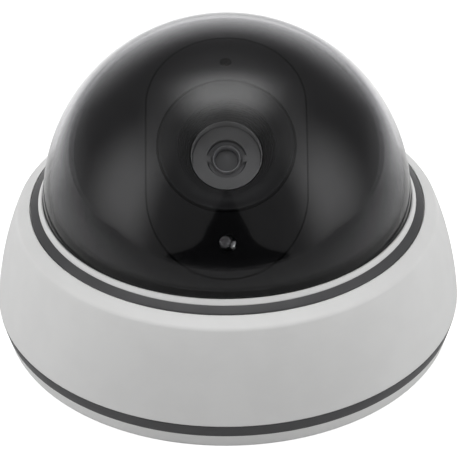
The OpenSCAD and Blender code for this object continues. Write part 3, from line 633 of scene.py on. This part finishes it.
# Status LED: a clear body with its rim, and inside it the cup with its die, the post and two leads.
# Heights on the ball and on the lens axis are measured from the ball's middle.
TO_LED = to_panel(-32)
LED_R, LED_RIM_R = 2.5, 2.9
LED_BASE, LED_RIM_TOP, LED_DOME_START = 45.8, 46.9, 51.9
body = filleted([(0, LED_BASE, 0), (LED_RIM_R, LED_BASE, 0.15), (LED_RIM_R, LED_RIM_TOP, 0.2),
                 (LED_R, LED_RIM_TOP, 0.1)])
body += [(LED_R, LED_DOME_START), *arc((0, LED_DOME_START), LED_R, 4, 88, 22)]
body += [(0, LED_DOME_START + LED_R)]
add_piece("status_led_body", lathe(body, 64), TO_LED, "camera_ball", "led_clear", "status_led", 60)

CUP_X, CUP_Y = -0.7, 0.1
LEAD_X, LEAD_WIDTH = 1.27, 0.5
cup = lathe([(0, 49.0), (0.9, 49.0), (1.35, 50.2), (1.35, 52.1), (1.15, 52.2), (0.5, 51.4), (0, 51.35)], 48)
bmesh.ops.translate(cup, verts=cup.verts, vec=(CUP_X * MM, CUP_Y * MM, 0))
die = box((0.5, 0.5, 0.3), (CUP_X, CUP_Y, 51.45), 0.05)
post = box((1.3, 1.5, 2.6), (1.2, -0.75, 50.6), 0.3)
leads = [box((LEAD_WIDTH, LEAD_WIDTH, length), (x, 0, middle))
         for x, length, middle in ((-LEAD_X, 5.6, 46.3), (LEAD_X, 6.4, 46.7))]
add_piece("status_led_leadframe", join(cup, die, post, *leads), TO_LED, "camera_ball", "bright_ring")

# Lens bezel: a collar and a flange behind the panel, a dished face in front of it, then a funnel of
# four equal steps with softened edges
COLLAR_R, COLLAR_BACK = 15, 33.5
BEZEL_FLANGE_R, BEZEL_FLANGE_BACK, BEZEL_FLANGE_FRONT = 21.2, 42.7, 44.2
BEZEL_R, BEZEL_EDGE = 19.8, 50.15
DISH_R, DISH_POINTS = 19.4, 12
FUNNEL_R, FUNNEL_TOP = 14.2, 48.3
STEPS, STEP_IN, STEP_DOWN, STEP_DRAFT = 4, 0.8, 1.8, 0.12
section = [(FUNNEL_R - STEPS * STEP_IN, COLLAR_BACK, 0.2), (COLLAR_R, COLLAR_BACK, 0.3),
           (COLLAR_R, BEZEL_FLANGE_BACK, 0.3), (BEZEL_FLANGE_R, BEZEL_FLANGE_BACK, 0.3),
           (BEZEL_FLANGE_R, BEZEL_FLANGE_FRONT, 0.3), (BEZEL_R, BEZEL_FLANGE_FRONT, 0.1),
           (BEZEL_R, BEZEL_EDGE, 0.3)]
for i in range(1, DISH_POINTS):
    t = i / DISH_POINTS
    section.append((DISH_R + (FUNNEL_R - DISH_R) * t,
                    BEZEL_EDGE + (FUNNEL_TOP - BEZEL_EDGE) * math.sin(t * math.pi / 2), 0))
section.append((FUNNEL_R, FUNNEL_TOP, 0.3))
for i in range(1, STEPS + 1):
    tread = FUNNEL_TOP - STEP_DOWN * i
    section.append((FUNNEL_R - STEP_IN * (i - 1) - STEP_DRAFT, tread, 0.15))
    section.append((FUNNEL_R - STEP_IN * i, tread + STEP_DRAFT, 0.3))
add_piece("lens_bezel_shell", lathe(filleted(section)), TO_LENS, "camera_module", "black_bezel",
          "lens_bezel")

# Focus ring: a rim, a fine gap inside it, the flat dial with its two tabs, and behind it the sleeve
# with the groove that takes the focus pin
RIM_OUT, RIM_IN, RIM_FRONT, RIM_BACK = 10.6, 10.3, 40.6, 35.0
DIAL_HOLE, DIAL_R, DIAL_FRONT, DIAL_BACK, GAP_BOTTOM = 5.95, 10.05, 37.5, 35.2, 36.5
SLEEVE_OUT, SLEEVE_IN, SLEEVE_BACK = 9.2, 7.65, 28.8
GROOVE_R, GROOVE_BACK, GROOVE_FRONT = 8.6, 30.3, 32.7
TAB_SIZE, TAB_X = (1.5, 2.2, 0.5), 5.55
section = [(DIAL_HOLE, DIAL_FRONT, 0.15), (DIAL_R, DIAL_FRONT, 0.2), (DIAL_R, GAP_BOTTOM, 0.05),
           (RIM_IN, GAP_BOTTOM, 0.05), (RIM_IN, RIM_FRONT, 0.12), (RIM_OUT, RIM_FRONT, 0.12),
           (RIM_OUT, RIM_BACK, 0.2), (SLEEVE_OUT, RIM_BACK, 0.1), (SLEEVE_OUT, SLEEVE_BACK, 0.2),
           (SLEEVE_IN, SLEEVE_BACK, 0.2), (SLEEVE_IN, GROOVE_BACK, 0.05), (GROOVE_R, GROOVE_BACK, 0.1),
           (GROOVE_R, GROOVE_FRONT, 0.1), (SLEEVE_IN, GROOVE_FRONT, 0.05), (SLEEVE_IN, DIAL_BACK, 0.05),
           (DIAL_HOLE, DIAL_BACK, 0.1)]
tabs = [box(TAB_SIZE, (side * TAB_X, 0, DIAL_FRONT - TAB_SIZE[2] / 2), 0.12) for side in (-1, 1)]
add_piece("focus_ring_dial", join(lathe(filleted(section)), *tabs), TO_LENS, "focus_ring_body",
          "grey_lens_face", "focus_ring")

# Lens: the turned ring, whose front slopes down to its hole, and the domed front element behind it
RING_BACK, RING_FRONT, RING_HOLE, RING_R = 34.95, 37.1, 3.5, 4.5
ring = [(RING_HOLE, RING_BACK, 0.05), (RING_R, RING_BACK, 0.05), (RING_R, 36.4, 0.15), (4.2, 36.9, 0.15),
        (4.1, RING_FRONT, 0.1), (3.85, RING_FRONT, 0.1), (3.6, 36.2, 0.1), (RING_HOLE, 35.65, 0.05)]
add_piece("lens_ring_turned", lathe(filleted(ring)), TO_LENS, "lens_group", "bright_ring",
          "lens_retaining_ring")

LENS_R, LENS_BACK, LENS_EDGE, LENS_SAG, LENS_CHAMFER = 3.7, 33.2, 34.8, 1.3, 0.1
curve_r = (LENS_R ** 2 + LENS_SAG ** 2) / (2 * LENS_SAG)
lens_top = LENS_EDGE + LENS_SAG
edge_angle = math.degrees(math.asin(LENS_R / curve_r))
element = [(0, LENS_BACK), (LENS_R - LENS_CHAMFER, LENS_BACK), (LENS_R, LENS_BACK + LENS_CHAMFER)]
element += [*arc((0, lens_top - curve_r), curve_r, 90 - edge_angle, 89.5, 20), (0, lens_top)]
add_piece("front_lens_element", lathe(element, 96), TO_LENS, "lens_group", "lens_glass", "front_lens")

# Trim rings, with softened edges; heights are measured from the underside of the base
UPPER_IN, UPPER_OUT = 58.5, 60.9
LOWER_IN, LOWER_BOTTOM, LOWER_TOP = 67.5, 4.9, 9.0
upper = [(UPPER_IN, 42.0, 0.1), (UPPER_OUT, 40.5, 0.1), (UPPER_OUT, 41.5, 0.15),
         (UPPER_OUT - 0.15, 41.75, 0.3), (UPPER_IN + 0.15, 43.1, 0.3), (UPPER_IN, 43.0, 0.1)]
lower = [(LOWER_IN, LOWER_BOTTOM, 0.2), (71.4, LOWER_BOTTOM, 0.2), (72.5, LOWER_TOP, 0.3),
         (LOWER_IN, LOWER_TOP, 0.2)]
add_piece("upper_trim_band", lathe(filleted(upper), 256), Matrix.Identity(4), "cover", "grey_trim",
          "upper_trim_ring", 50)
add_piece("base_trim_band", lathe(filleted(lower), 256), Matrix.Identity(4), "base", "grey_trim",
          "base_trim_ring", 50)
